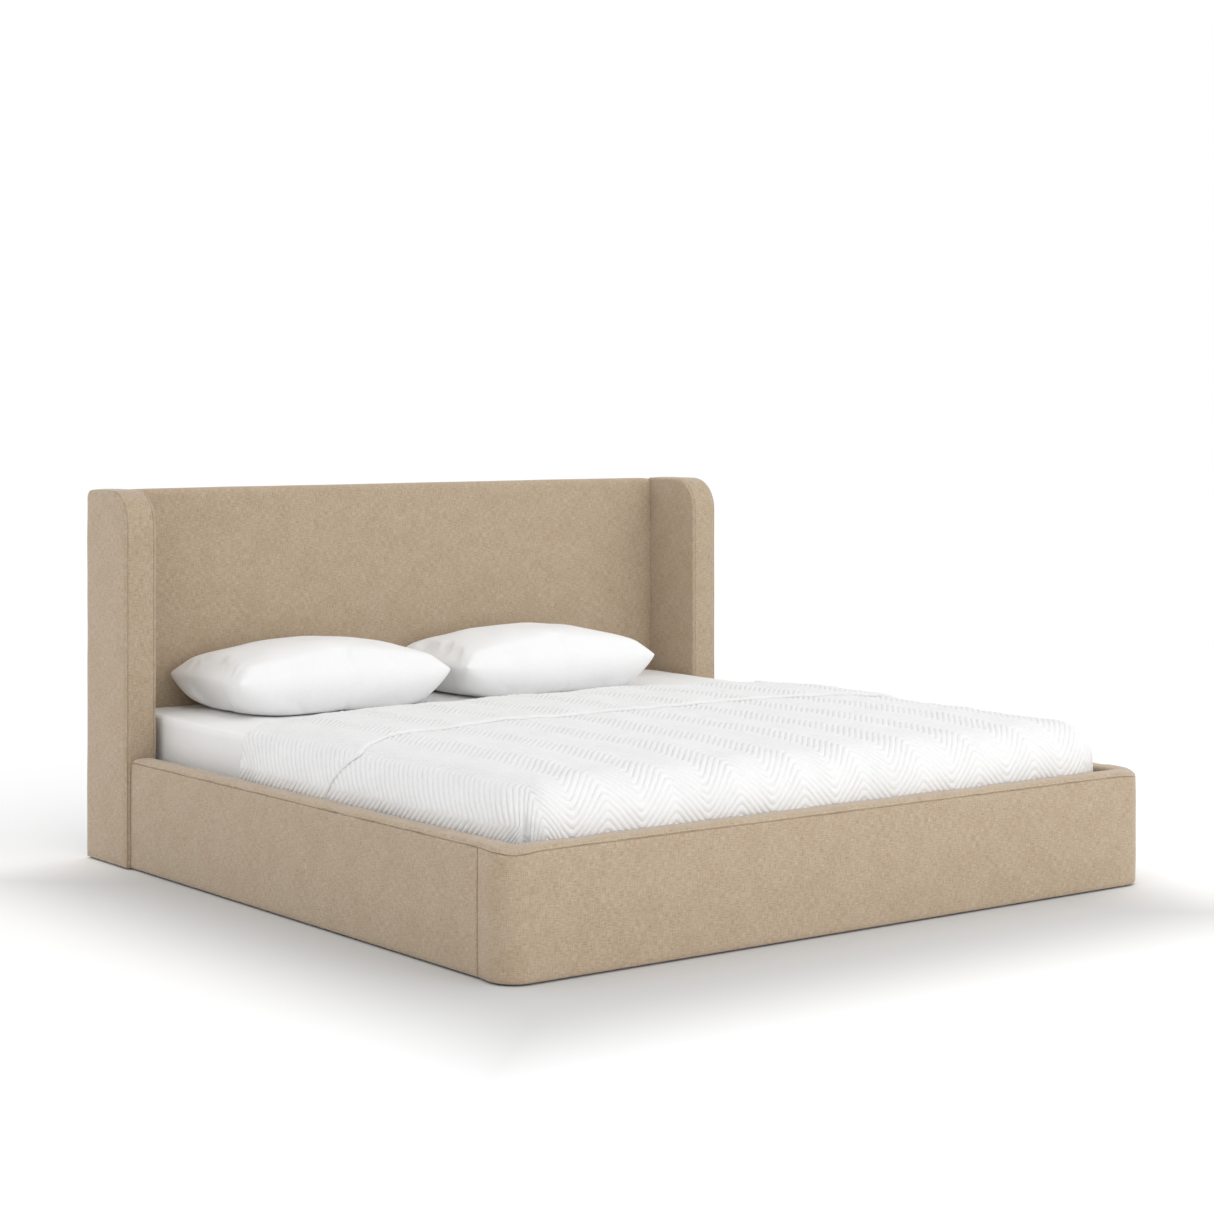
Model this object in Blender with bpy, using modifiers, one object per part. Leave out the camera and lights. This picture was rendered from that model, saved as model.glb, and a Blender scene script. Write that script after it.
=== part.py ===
"""King-size upholstered wing bed on a slatted base, made up with its bedding.

+X is to the right of a person looking from the foot at the headboard, +Y runs to the head, +Z is up.
Y is counted from the outer face of the foot section and shifted by half the length at the end.
"""
import math

import bmesh
import bpy
from mathutils import Vector

# ---- overall sizes, metres
LENGTH = 2.146                # foot section's outer face to the headboard's back
HEIGHT = 1.077                # headboard and wings
WING_OUT = 1.083              # half the width over the wings
WING_IN = 0.988               # half the width between the wings
WING_DEPTH = 0.260
WING_CORNER_R = 0.100         # rounded top front corner of each wing
RAIL_OUT, RAIL_IN = 1.070, 1.010
FOOT_OUT, FOOT_THICK, FOOT_R = 1.075, 0.060, 0.070
RAIL_TOP = 0.318
JOINT_Y = 0.125               # where the foot section's return meets the side rail
WING_Y = LENGTH - WING_DEPTH  # front face of the wings

# ---- make-up of the padded parts
GAP = 0.0003                  # between touching pieces
CLOTH = 0.0015
SKIN = CLOTH + GAP
FOAM_OUT, FOAM_TOP, FOAM_IN = 0.016, 0.014, 0.009
WING_FOAM = 0.008
COVER_Z, FOAM_Z, BOARD_Z = 0.004, 0.006, 0.008
EDGE_R = 0.011                # softness of the padded edges

# ---- headboard panel
PANEL_X = WING_IN - GAP
PANEL_Y = 2.104
BOARD_Y = (2.1241, 2.1421)
BOARD_TOP = 1.054

# ---- slatted base
CLEAT_IN, CLEAT_LOW, CLEAT_TOP = 0.9597, 0.120, 0.158
SLAT_COUNT, SLAT_W, SLAT_T = 12, 0.095, 0.018
SLAT_HALF = 0.985
SLAT_FIRST, SLAT_LAST = 0.125, 2.040
SLAT_Z = CLEAT_TOP + GAP
BEAM_HALF, BEAM_LOW = 0.030, 0.0985
LEG_Y = (0.55, 1.07, 1.60)
LEG_HALF, LEG_LOW = 0.025, 0.020
FOOT_PAD_R, FOOT_PAD_T = 0.021, 0.008
SHANK_R, SHANK_TOP, BORE_TOP = 0.005, 0.046, 0.062

# ---- bedding
MATTRESS = (0.965, 0.0715, 2.1015, SLAT_Z + SLAT_T + 0.0017, 0.428)   # half width, y0, y1, z0, z1
MATTRESS_R, MATTRESS_EDGE = 0.060, 0.016
SHEET_T, SHEET_LOW = 0.0015, 0.190
QUILT_T, QUILT_LOW, QUILT_HEAD = 0.006, 0.200, 1.560
CUFF_T, CUFF_FOOT = 0.012, 0.960
PILLOW = (0.375, 0.245)       # half sizes in plan
PILLOW_Y = 1.848
PILLOW_X = {"left": -0.490, "right": 0.285}
PILLOW_RISE, PILLOW_SEAM = 0.198, 0.082

COLOURS = {                   # linear colour, roughness, metallic
    "upholstery": ((0.48, 0.38, 0.26), 0.90, 0.0),
    "foam": ((0.72, 0.66, 0.45), 0.95, 0.0),
    "plywood": ((0.62, 0.45, 0.27), 0.70, 0.0),
    "pine": ((0.68, 0.50, 0.30), 0.65, 0.0),
    "lining": ((0.05, 0.05, 0.05), 0.95, 0.0),
    "steel": ((0.10, 0.10, 0.11), 0.45, 1.0),
    "zinc": ((0.60, 0.61, 0.63), 0.35, 1.0),
    "nylon": ((0.03, 0.03, 0.03), 0.50, 0.0),
    "ticking": ((0.80, 0.80, 0.78), 0.90, 0.0),
    "sheet": ((0.86, 0.86, 0.86), 0.85, 0.0),
    "coverlet": ((0.88, 0.88, 0.87), 0.92, 0.0),
    "pillow": ((0.88, 0.88, 0.88), 0.85, 0.0),
}

for old in list(bpy.data.objects):
    bpy.data.objects.remove(old, do_unlink=True)
PARTS = bpy.data.collections.new("wing_bed")
CUTTERS = bpy.data.collections.new("cutters")
for group in (PARTS, CUTTERS):
    bpy.context.scene.collection.children.link(group)


def finish(name, look):
    """Plain material of one piece."""
    colour, rough, metal = COLOURS[look]
    mat = bpy.data.materials.new(name)
    mat.use_nodes = True
    shader = mat.node_tree.nodes["Principled BSDF"]
    shader.inputs["Base Color"].default_value = (*colour, 1.0)
    shader.inputs["Roughness"].default_value = rough
    shader.inputs["Metallic"].default_value = metal
    return mat


def add(name, verts, faces, look=None, origin=(0, LENGTH / 2, 0)):
    """Mesh object from points and faces, normals outward. Without a look it is a cutter."""
    mesh = bpy.data.meshes.new(name)
    mesh.from_pydata([Vector(v) - Vector(origin) for v in verts], [], faces)
    bm = bmesh.new()
    bm.from_mesh(mesh)
    bmesh.ops.recalc_face_normals(bm, faces=bm.faces)
    if bm.calc_volume(signed=True) < 0:
        bmesh.ops.reverse_faces(bm, faces=bm.faces)
    bm.to_mesh(mesh)
    bm.free()
    mesh.polygons.foreach_set("use_smooth", [True] * len(mesh.polygons))
    mesh.set_sharp_from_angle(angle=math.radians(35))
    obj = bpy.data.objects.new(name, mesh)
    obj.location = Vector(origin) - Vector((0, LENGTH / 2, 0))
    if look is None:
        CUTTERS.objects.link(obj)
        obj.hide_render = True
        obj.display_type = "WIRE"
    else:
        PARTS.objects.link(obj)
        mesh.materials.append(finish(name, look))
    return obj


def prism(name, outline, axis, low, high, look=None):
    """Outline swept straight along an axis (0, 1 or 2)."""
    def place(point, along):
        coords = list(point)
        coords.insert(axis, along)
        return tuple(coords)
    n = len(outline)
    verts = [place(p, low) for p in outline] + [place(p, high) for p in outline]
    faces = [tuple(range(n - 1, -1, -1)), tuple(range(n, 2 * n))]
    faces += [(i, (i + 1) % n, n + (i + 1) % n, n + i) for i in range(n)]
    return add(name, verts, faces, look)


def box(name, xs, ys, zs, look=None):
    outline = [(xs[0], ys[0]), (xs[1], ys[0]), (xs[1], ys[1]), (xs[0], ys[1])]
    return prism(name, outline, 2, zs[0], zs[1], look)


def arc(cx, cy, r, start, stop, steps):
    """Points of a circular arc, angles in degrees."""
    turns = [math.radians(start + (stop - start) * i / steps) for i in range(steps + 1)]
    return [(cx + r * math.cos(t), cy + r * math.sin(t)) for t in turns]


def soften(obj, width, segments=3, skip=None, part=None):
    """Round the sharp edges; skip leaves an edge sharp, part gives an edge's share of the width."""
    mesh = obj.data
    bm = bmesh.new()
    bm.from_mesh(mesh)
    layer = bm.edges.layers.float.new("bevel_weight_edge")
    for edge in bm.edges:
        a, b = (v.co + Vector((0, LENGTH / 2, 0)) for v in edge.verts)
        if edge.calc_face_angle(0) > math.radians(35) and not (skip and skip(a, b)):
            edge[layer] = part(a, b) if part else 1.0
    bm.to_mesh(mesh)
    bm.free()
    mod = obj.modifiers.new("soft_edge", "BEVEL")
    mod.width = width
    mod.segments = segments
    mod.limit_method = "WEIGHT"
    return obj


def combine(obj, other, operation="DIFFERENCE"):
    mod = obj.modifiers.new(other.name, "BOOLEAN")
    mod.operation = operation
    mod.solver = "EXACT"
    mod.object = other
    return obj


def sides():
    return (("left", -1), ("right", 1))


def span(side, near, far):
    """X range at either side of the bed, in rising order."""
    return (side * far, side * near) if side < 0 else (side * near, side * far)


def low_edge(z):
    return lambda a, b: abs(a.z - z) < 1e-6 and abs(b.z - z) < 1e-6


# ---- headboard wings ------------------------------------------------------------------------

def wing_outline(t, z0, back=None):
    """Side profile of a wing, drawn in by t."""
    y0, y1, top = WING_Y + t, (LENGTH - t if back is None else back), HEIGHT - t
    r = WING_CORNER_R - t
    return [(y0, z0)] + arc(y0 + r, top - r, r, 180, 90, 10) + [(y1, top), (y1, z0)]


def wing(label, side):
    cover = prism(f"wing_cover_{label}", wing_outline(0, COVER_Z), 0, *span(side, WING_IN, WING_OUT),
                  look="upholstery")
    soften(cover, 0.006, skip=low_edge(COVER_Z))
    inner = prism(f"wing_cover_space_{label}", wing_outline(CLOTH, -0.02), 0,
                  *span(side, WING_IN + CLOTH, WING_OUT - CLOTH))
    combine(cover, soften(inner, 0.0045))
    foam = prism(f"wing_foam_{label}", wing_outline(SKIN, FOAM_Z), 0,
                 *span(side, WING_IN + SKIN, WING_OUT - SKIN), look="foam")
    soften(foam, 0.0042, skip=low_edge(FOAM_Z))
    t = SKIN + WING_FOAM
    combine(foam, prism(f"wing_foam_space_{label}", wing_outline(t, -0.02), 0,
                        *span(side, WING_IN + t, WING_OUT - t)))
    t += GAP
    core = prism(f"wing_core_{label}", wing_outline(t, BOARD_Z), 0,
                 *span(side, WING_IN + t, WING_OUT - t), look="plywood")
    t += 0.012
    combine(core, prism(f"wing_core_space_{label}", wing_outline(t, 0.030, LENGTH + 0.02), 0,
                        *span(side, WING_IN + t, WING_OUT - t)))
    middle = side * (WING_IN + WING_OUT) / 2
    box(f"wing_glide_{label}", (middle - 0.022, middle + 0.022), (WING_Y + 0.03, LENGTH - 0.03),
        (0, BOARD_Z - GAP), "nylon")
    box(f"wing_cleat_{label}", span(side, CLEAT_IN, WING_IN - GAP), (WING_Y + 0.004, PANEL_Y - 0.0005),
        (CLEAT_LOW, CLEAT_TOP), "pine")


# ---- headboard panel between the wings --------------------------------------------------------

def over_the_top(outer, inner, front_low, back_low):
    """Profile of a layer that runs up the front, over the rolled top and a little down the back."""
    y0, y1, top = outer
    r = (y1 - y0) / 2
    a0, a1, a_top = inner
    path = [(y0, front_low)] + arc((y0 + y1) / 2, top - r, r, 180, 0, 10) + [(y1, back_low)]
    return path + [(a1, back_low), (a1, a_top), (a0, a_top), (a0, front_low)]


def headboard():
    outer = (PANEL_Y, LENGTH, HEIGHT)
    middle = [v + s * CLOTH for v, s in zip(outer, (1, -1, -1))]
    foam = [v + s * SKIN for v, s in zip(outer, (1, -1, -1))]
    r = (outer[1] - outer[0]) / 2
    centre = ((outer[0] + outer[1]) / 2, HEIGHT - r)
    low, back_low = 0.100, 1.036
    outline = ([(outer[0], low)] + arc(*centre, r, 180, 0, 12) + [(outer[1], back_low), (middle[1], back_low)]
               + arc(*centre, r - CLOTH, 0, 180, 12) + [(middle[0], low)])
    prism("headboard_cover", outline, 0, -PANEL_X, PANEL_X, "upholstery")
    inner = (BOARD_Y[0] - GAP, BOARD_Y[1] + GAP, BOARD_TOP + GAP)
    prism("headboard_foam", over_the_top(foam, inner, low + 0.002, back_low + 0.002), 0,
          -PANEL_X + 0.0018, PANEL_X - 0.0018, "foam")
    board = box("headboard_board", (-PANEL_X + 0.002, PANEL_X - 0.002), BOARD_Y, (BOARD_Z, BOARD_TOP), "plywood")
    soften(board, 0.003, 1)
    box("headboard_lining", (-PANEL_X, PANEL_X), (LENGTH - 0.0012, LENGTH), (0.02, back_low - 0.001), "lining")
    box("head_cross_rail", (-CLEAT_IN + 0.0007, CLEAT_IN - 0.0007), (PANEL_Y - 0.0305, PANEL_Y - 0.0005),
        (0.070, CLEAT_TOP), "pine")


# ---- side rails -------------------------------------------------------------------------------

def side_rail(label, side):
    y0, y1 = JOINT_Y + GAP, WING_Y - GAP
    cover = box(f"side_rail_cover_{label}", span(side, RAIL_IN, RAIL_OUT), (y0, y1), (COVER_Z, RAIL_TOP),
                "upholstery")

    def share(a, b):
        return 1.0 if abs(a.y - b.y) > 0.1 else 0.35
    soften(cover, EDGE_R, 3, skip=low_edge(COVER_Z), part=share)
    inner = box(f"side_rail_cover_space_{label}", span(side, RAIL_IN + CLOTH, RAIL_OUT - CLOTH),
                (y0 + CLOTH, y1 - CLOTH), (-0.02, RAIL_TOP - CLOTH))
    combine(cover, soften(inner, EDGE_R - CLOTH, 3, part=share))
    foam = box(f"side_rail_foam_{label}", span(side, RAIL_IN + SKIN, RAIL_OUT - SKIN), (y0 + SKIN, y1 - SKIN),
               (FOAM_Z, RAIL_TOP - SKIN), "foam")
    soften(foam, EDGE_R - SKIN, 3, skip=low_edge(FOAM_Z), part=share)
    board_x = (RAIL_IN + SKIN + FOAM_IN, RAIL_OUT - SKIN - FOAM_OUT)
    combine(foam, box(f"side_rail_foam_space_{label}", span(side, *board_x), (y0 - 0.05, y1 + 0.05),
                      (-0.02, RAIL_TOP - SKIN - FOAM_TOP)))
    board = box(f"side_rail_board_{label}", span(side, board_x[0] + GAP, board_x[1] - GAP),
                (y0 + SKIN, y1 - SKIN), (BOARD_Z, RAIL_TOP - SKIN - FOAM_TOP - GAP), "pine")
    soften(board, 0.002, 1)
    box(f"side_cleat_{label}", span(side, CLEAT_IN, RAIL_IN - GAP), (FOOT_THICK + 0.004, WING_Y - 0.004),
        (CLEAT_LOW, CLEAT_TOP), "pine")


# ---- foot section, wrapped round both corners ---------------------------------------------------

def foot_outline(out, inn, end):
    """U-shaped plan: out and inn draw in the outer and inner faces, end the two ends."""
    x, r, xi, yi = FOOT_OUT - out, FOOT_R - out, RAIL_IN + inn, FOOT_THICK - inn
    y_end = JOINT_Y - end
    outer = [(-x, y_end)] + arc(-x + r, out + r, r, 180, 270, 8) + arc(x - r, out + r, r, 270, 360, 8) + [(x, y_end)]
    return outer + [(xi, y_end), (xi, yi), (-xi, yi), (-xi, y_end)]


def foot_section():
    def share(a, b):
        return 0.35 if abs(a.z - b.z) > 0.1 or min(a.y, b.y) > JOINT_Y - 0.02 else 1.0
    cover = prism("foot_cover", foot_outline(0, 0, 0), 2, COVER_Z, RAIL_TOP, "upholstery")
    soften(cover, EDGE_R, 3, skip=low_edge(COVER_Z), part=share)
    inner = prism("foot_cover_space", foot_outline(CLOTH, CLOTH, CLOTH), 2, -0.02, RAIL_TOP - CLOTH)
    combine(cover, soften(inner, EDGE_R - CLOTH, 3, part=share))
    foam = prism("foot_foam", foot_outline(SKIN, SKIN, SKIN), 2, FOAM_Z, RAIL_TOP - SKIN, "foam")
    soften(foam, EDGE_R - SKIN, 3, skip=low_edge(FOAM_Z), part=share)
    out, inn = SKIN + FOAM_OUT, SKIN + FOAM_IN
    board_top = RAIL_TOP - SKIN - FOAM_TOP
    combine(foam, prism("foot_foam_space", foot_outline(out, inn, -0.05), 2, -0.02, board_top))
    ys = (out + GAP, FOOT_THICK - inn - GAP)
    board = box("foot_board", (-0.985, 0.985), ys, (BOARD_Z, board_top - GAP), "pine")
    soften(board, 0.002, 1)
    x, r = FOOT_OUT - out - GAP, FOOT_R - out - GAP
    xi = RAIL_IN + inn + GAP
    for label, side in sides():
        outline = ([(0.9853, ys[0])] + arc(x - r, ys[0] + r, r, 270, 360, 8)
                   + [(x, JOINT_Y - SKIN), (xi, JOINT_Y - SKIN), (xi, ys[1]), (0.9853, ys[1])])
        prism(f"foot_corner_block_{label}", [(side * p, q) for p, q in outline], 2, BOARD_Z, board_top - GAP, "pine")
        disc(f"foot_glide_{label}", (side * 1.0390, 0.072), 0.015, 0, BOARD_Z - GAP, "nylon")


# ---- turned and small parts -------------------------------------------------------------------

def disc(name, centre, r, z0, z1, look=None, steps=24):
    ring = arc(centre[0], centre[1], r, 0, 360 - 360 / steps, steps - 1)
    return prism(name, ring, 2, z0, z1, look)


def bolt_heads(plate, name, spots, axis, face, height, side):
    """Hexagon heads standing on a plate, joined to it."""
    for k, spot in enumerate(spots):
        ring = arc(spot[0], spot[1], 0.0065, 30, 330, 5)
        ends = sorted((face - side * 0.001, face + side * height))
        combine(plate, prism(f"{name}_head_{k}", ring, axis, *ends), "UNION")


def brackets(label, side):
    """Steel plates that hold the side rail to the foot section and to the wing."""
    x = (RAIL_IN - GAP - 0.003, RAIL_IN - GAP)
    plate = box(f"foot_plate_{label}", span(side, *x), (JOINT_Y - 0.052, JOINT_Y + 0.055), (0.040, 0.112), "steel")
    spots = [(JOINT_Y + dy, z) for dy in (-0.036, 0.038) for z in (0.055, 0.097)]
    bolt_heads(plate, f"foot_plate_{label}", spots, 0, side * x[0], 0.0045, -side)
    angle = box(f"wing_bracket_{label}", span(side, *x), (WING_Y - 0.090, WING_Y - GAP), (0.040, 0.112), "steel")
    leg = box(f"wing_bracket_leg_{label}", span(side, WING_IN + 0.002, x[1] - 0.001),
              (WING_Y - GAP - 0.003, WING_Y - GAP), (0.040, 0.112))
    combine(angle, leg, "UNION")
    spots = [(WING_Y + dy, z) for dy in (-0.072, -0.030) for z in (0.055, 0.097)]
    bolt_heads(angle, f"wing_bracket_{label}", spots, 0, side * x[0], 0.0045, -side)


def hanger(name, face, side):
    """Folded steel saddle that carries one end of the centre beam; side is the way it reaches."""
    def ys(near, far):
        return tuple(sorted((face + side * near, face + side * far)))
    plate = box(name, (-0.048, 0.048), ys(GAP, 0.0033), (0.074, CLEAT_TOP - 0.002), "steel")
    low = BEAM_LOW - GAP
    combine(plate, box(f"{name}_seat", (-BEAM_HALF - 0.0033, BEAM_HALF + 0.0033), ys(0.002, 0.045),
                       (low - 0.003, low)), "UNION")
    for label, s in sides():
        combine(plate, box(f"{name}_ear_{label}", span(s, BEAM_HALF + GAP, BEAM_HALF + 0.0033), ys(0.002, 0.045),
                           (low - 0.003, CLEAT_TOP - 0.002)), "UNION")
    for k, x in enumerate((-0.041, 0.041)):
        ring = arc(x, 0.090, 0.0045, 30, 330, 5)
        combine(plate, prism(f"{name}_screw_{k}", ring, 1, *ys(0.002, 0.0063)), "UNION")


def centre_support():
    box("centre_beam", (-BEAM_HALF, BEAM_HALF), (FOOT_THICK + 0.0037, PANEL_Y - 0.0305 - 0.0037),
        (BEAM_LOW, CLEAT_TOP), "pine")
    hanger("beam_hanger_foot", FOOT_THICK, 1)
    hanger("beam_hanger_head", PANEL_Y - 0.0305, -1)
    for k, y in enumerate(LEG_Y, 1):
        leg = box(f"centre_leg_{k}", (-LEG_HALF, LEG_HALF), (y - LEG_HALF, y + LEG_HALF),
                  (LEG_LOW, BEAM_LOW - GAP), "pine")
        combine(leg, disc(f"centre_leg_bore_{k}", (0, y), SHANK_R + 0.0003, 0, BORE_TOP))
        lathe(f"levelling_foot_{k}", (0, y), [(FOOT_PAD_R - 0.0015, 0), (FOOT_PAD_R, 0.0015),
              (FOOT_PAD_R, FOOT_PAD_T - 0.003), (FOOT_PAD_R - 0.006, FOOT_PAD_T), (SHANK_R, FOOT_PAD_T),
              (SHANK_R, SHANK_TOP - 0.001), (SHANK_R - 0.001, SHANK_TOP)], "zinc")


def lathe(name, centre, profile, look, steps=24):
    """Solid turned about an upright axis; its origin sits on the axis at floor level."""
    verts, faces = [], []
    for r, z in profile:
        verts += [(x, y, z) for x, y in arc(centre[0], centre[1], r, 0, 360 - 360 / steps, steps - 1)]
    for k in range(len(profile) - 1):
        a = k * steps
        faces += [(a + i, a + (i + 1) % steps, a + steps + (i + 1) % steps, a + steps + i) for i in range(steps)]
    faces += [tuple(range(steps)), tuple(range(len(verts) - steps, len(verts)))]
    return add(name, verts, faces, look, origin=(centre[0], centre[1], 0))


def slats():
    pitch = (SLAT_LAST - SLAT_FIRST) / (SLAT_COUNT - 1)
    for k in range(SLAT_COUNT):
        y = SLAT_FIRST + k * pitch
        slat = box(f"slat_{k + 1:02d}", (-SLAT_HALF, SLAT_HALF), (y - SLAT_W / 2, y + SLAT_W / 2),
                   (SLAT_Z, SLAT_Z + SLAT_T), "pine")
        soften(slat, 0.003, 2)


# ---- bedding ----------------------------------------------------------------------------------

def loaf(name, grow, look=None, z0=None, y0=None, y1=None):
    """The mattress's rounded block, grown all round by grow."""
    half, my0, my1, mz0, mz1 = MATTRESS
    x, r = half + grow, MATTRESS_R + grow
    ya, yb = (my0 - grow if y0 is None else y0), (my1 + grow if y1 is None else y1)
    outline = (arc(x - r, ya + r, r, 270, 360, 6) + arc(x - r, yb - r, r, 0, 90, 6)
               + arc(-x + r, yb - r, r, 90, 180, 6) + arc(-x + r, ya + r, r, 180, 270, 6))
    low = mz0 if z0 is None else z0
    obj = prism(name, outline, 2, low, mz1 + grow, look)
    return soften(obj, MATTRESS_EDGE + grow, 3, skip=None if z0 is None else low_edge(low))


def bedding():
    loaf("mattress", 0, "ticking")
    sheet = loaf("fitted_sheet", GAP + SHEET_T, "sheet", z0=SHEET_LOW)
    combine(sheet, loaf("sheet_space", GAP, z0=0.05))
    inside = GAP + SHEET_T + GAP
    quilt = loaf("coverlet", inside + QUILT_T, "coverlet", z0=QUILT_LOW)
    cuff = loaf("coverlet_cuff_block", inside + CUFF_T, z0=QUILT_LOW)
    combine(cuff, box("coverlet_cuff_foot_trim", (-1.2, 1.2), (-0.5, CUFF_FOOT), (0, 0.6)))
    combine(quilt, cuff, "UNION")
    combine(quilt, loaf("coverlet_space", inside, z0=0.05, y1=2.3))
    combine(quilt, box("coverlet_head_trim", (-1.2, 1.2), (QUILT_HEAD, 2.5), (0, 0.6)))
    for label, _ in sides():
        pillow(label)


def pillow(label):
    """Plump pillow lying flat: two bulged faces that meet in a seam, pinched at the corners."""
    nx, ny = 22, 14
    hx, hy = PILLOW
    cx, rest = PILLOW_X[label], MATTRESS[4] + GAP + SHEET_T + GAP

    def point(i, j, up):
        u, v = 2 * i / nx - 1, 2 * j / ny - 1
        u, v = math.sin(u * math.pi / 2), math.sin(v * math.pi / 2)
        plump = ((1 - abs(u) ** 2.6) * (1 - abs(v) ** 2.2)) ** 0.5
        x = cx + hx * u * (1 - 0.045 * (1 - v * v))
        y = PILLOW_Y + hy * v * (1 - 0.060 * (1 - u * u))
        z = PILLOW_SEAM + (PILLOW_RISE - PILLOW_SEAM) * plump if up else PILLOW_SEAM - 0.125 * plump
        return (x, y, rest + max(z, 0.0))
    verts, index = [], {}
    for up in (True, False):
        for i in range(nx + 1):
            for j in range(ny + 1):
                rim = i in (0, nx) or j in (0, ny)
                if rim and not up:
                    index[(i, j, up)] = index[(i, j, True)]
                else:
                    index[(i, j, up)] = len(verts)
                    verts.append(point(i, j, up))
    faces = []
    for up in (True, False):
        for i in range(nx):
            for j in range(ny):
                quad = [index[(i, j, up)], index[(i + 1, j, up)], index[(i + 1, j + 1, up)], index[(i, j + 1, up)]]
                faces.append(tuple(quad if up else quad[::-1]))
    add(f"pillow_{label}", verts, faces, "pillow", origin=(cx, PILLOW_Y, rest))


headboard()
for word, sign in sides():
    wing(word, sign)
    side_rail(word, sign)
    brackets(word, sign)
foot_section()
centre_support()
slats()
bedding()
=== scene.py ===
import math

import bmesh
import bpy
import numpy as np
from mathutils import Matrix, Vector


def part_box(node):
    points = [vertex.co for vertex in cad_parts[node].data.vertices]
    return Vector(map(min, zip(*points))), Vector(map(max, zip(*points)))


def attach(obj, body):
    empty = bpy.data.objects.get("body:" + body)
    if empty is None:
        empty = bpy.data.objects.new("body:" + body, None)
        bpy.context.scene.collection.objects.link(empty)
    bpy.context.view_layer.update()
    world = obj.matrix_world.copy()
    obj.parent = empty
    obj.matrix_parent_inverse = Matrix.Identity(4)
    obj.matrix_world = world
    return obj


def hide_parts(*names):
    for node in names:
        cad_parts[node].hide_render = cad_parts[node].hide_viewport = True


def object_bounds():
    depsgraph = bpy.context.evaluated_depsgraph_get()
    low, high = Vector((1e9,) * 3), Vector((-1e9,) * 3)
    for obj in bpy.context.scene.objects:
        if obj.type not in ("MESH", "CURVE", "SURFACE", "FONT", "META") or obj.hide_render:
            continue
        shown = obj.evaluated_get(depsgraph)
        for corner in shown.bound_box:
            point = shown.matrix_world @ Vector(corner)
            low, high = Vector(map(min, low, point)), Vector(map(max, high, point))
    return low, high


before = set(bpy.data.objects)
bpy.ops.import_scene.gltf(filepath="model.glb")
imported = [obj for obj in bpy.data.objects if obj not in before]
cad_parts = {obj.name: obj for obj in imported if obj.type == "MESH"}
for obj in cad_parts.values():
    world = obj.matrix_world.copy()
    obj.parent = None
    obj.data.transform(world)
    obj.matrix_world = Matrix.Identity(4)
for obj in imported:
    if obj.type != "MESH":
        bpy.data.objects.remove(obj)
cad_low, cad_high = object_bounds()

FOOT = cad_low.y
UV = "cloth"
WAVE = 6.283                  # a wave texture repeats once in this many units

# ---- sizes read from the frame
WING_LOW, WING_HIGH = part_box("wing_cover_right")
RAIL_LOW, RAIL_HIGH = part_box("side_rail_cover_right")
FOOT_LOW, FOOT_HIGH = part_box("foot_cover")
PANEL_LOW, PANEL_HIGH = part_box("headboard_cover")
LINING_LOW, LINING_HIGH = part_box("headboard_lining")
SHEET_LOW, SHEET_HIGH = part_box("fitted_sheet")
COVERLET_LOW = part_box("coverlet")[0]

# ---- padded edges and seams
EDGE_R = 0.011                # softness of the rails' padded edges
SEAM_W, SEAM_D = 0.0016, 0.0032
FABRIC = 0.0012
TURN_UNDER = 0.014
END_R = 0.004                 # round where a cover turns in at a joint
FLANGE = 0.012                # cloth turned in behind a joint
JOINT_OPEN = 0.0016           # each cover's share of the open joint

# ---- plan and corner radii of the padded parts
FOOT_THICK = 0.060
FOOT_CORNER_R, FOOT_INNER_R = 0.070, 0.010
CORNER_SAG = 0.009            # how far the foot section's cover is pulled down round its corners
WING_CORNER_R, WING_REAR_R = 0.100, 0.026


# ---- materials ----------------------------------------------------------------------------------

def linear(code):
    """sRGB hex colour as linear RGBA."""
    parts = [int(code[i:i + 2], 16) / 255 for i in (1, 3, 5)]
    return tuple(p / 12.92 if p <= 0.04045 else ((p + 0.055) / 1.055) ** 2.4 for p in parts) + (1.0,)


def node(tree, kind, inputs=None, **settings):
    """One node with its settings; inputs maps a socket to a value or to the output that feeds it."""
    made = tree.nodes.new(kind)
    for key, value in settings.items():
        setattr(made, key, value)
    for key, value in (inputs or {}).items():
        if isinstance(value, bpy.types.NodeSocket):
            tree.links.new(value, made.inputs[key])
        else:
            made.inputs[key].default_value = value
    return made


def surface(name, roughness, metallic=0.0, **extra):
    """New material with its shader's constants set on the shader itself."""
    mat = bpy.data.materials.new(name)
    mat.use_nodes = True
    shader = mat.node_tree.nodes["Principled BSDF"]
    shader.inputs["Roughness"].default_value = roughness
    shader.inputs["Metallic"].default_value = metallic
    for key, value in extra.items():
        shader.inputs[key.replace("_", " ")].default_value = value
    return mat, mat.node_tree, shader


def blend(tree, share, first, second, **settings):
    """Mix of two colours."""
    return node(tree, "ShaderNodeMix", {0: share, 6: first, 7: second}, data_type="RGBA", **settings).outputs[2]


def finish(tree, shader, colour, height, strength, relief):
    """Wires the colour and the bump; relief is in metres."""
    tree.links.new(colour, shader.inputs["Base Color"])
    bump = node(tree, "ShaderNodeBump", {"Height": height, "Strength": strength, "Distance": relief})
    tree.links.new(bump.outputs["Normal"], shader.inputs["Normal"])


def per_mm(*sizes):
    """Mapping scale that makes one pattern unit this many millimetres long on each axis."""
    return tuple(1000.0 / s for s in sizes) + (1.0,) * (3 - len(sizes))


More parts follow.
